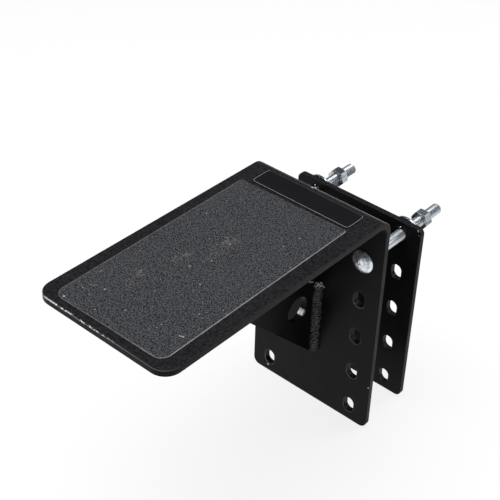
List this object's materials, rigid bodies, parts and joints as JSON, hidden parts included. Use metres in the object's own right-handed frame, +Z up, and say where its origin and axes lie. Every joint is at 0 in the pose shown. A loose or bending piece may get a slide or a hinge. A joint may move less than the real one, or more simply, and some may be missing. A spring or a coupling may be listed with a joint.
{
  "type": "trailer step",
  "caption": "Clamp-on trailer step: a folded steel tread with grip tape and a welded gusset, held to a frame beam by a slotted clamp plate and carriage bolts.",
  "frame": {"origin": "on the mounting plate's beam face, at mid-width, level with the axes of the clamp bolts", "axes": "+X across the step, +Y from the tread towards the beam and clamp plate, +Z up"},
  "size_m": [0.1524, 0.4034, 0.2619],
  "materials": {
    "powder_coat": "satin black powder coat, scuffed at the edges",
    "grit_tape": "coarse dark grey grit",
    "label_film": "black vinyl film with a thin pale border",
    "zinc_plate": "bright zinc plate"
  },
  "bodies": {
    "step": {"step_plate": "powder_coat", "gusset": "powder_coat", "rear_weld_right": "powder_coat", "rear_weld_left": "powder_coat", "top_weld_right": "powder_coat", "top_weld_left": "powder_coat", "grip_tape": "grit_tape", "label": "label_film", "left_bolt": "zinc_plate", "right_bolt": "zinc_plate"},
    "clamp": {"clamp_plate": "powder_coat", "left_washer": "zinc_plate", "right_washer": "zinc_plate"},
    "left_nut_body": {"left_nut": "zinc_plate"},
    "right_nut_body": {"right_nut": "zinc_plate"}
  },
  "joints": [
    {"name": "clamp_slide", "type": "slide", "parent": "step", "child": "clamp", "axis": [0, 1, 0], "range_m": [-0.0533, 0.0213]},
    {"name": "left_nut_travel", "type": "slide", "parent": "step", "child": "left_nut_body", "axis": [0, 1, 0], "range_m": [-0.0247, 0.01907]},
    {"name": "right_nut_travel", "type": "slide", "parent": "step", "child": "right_nut_body", "axis": [0, 1, 0], "range_m": [-0.0213, 0.02247]}
  ]
}
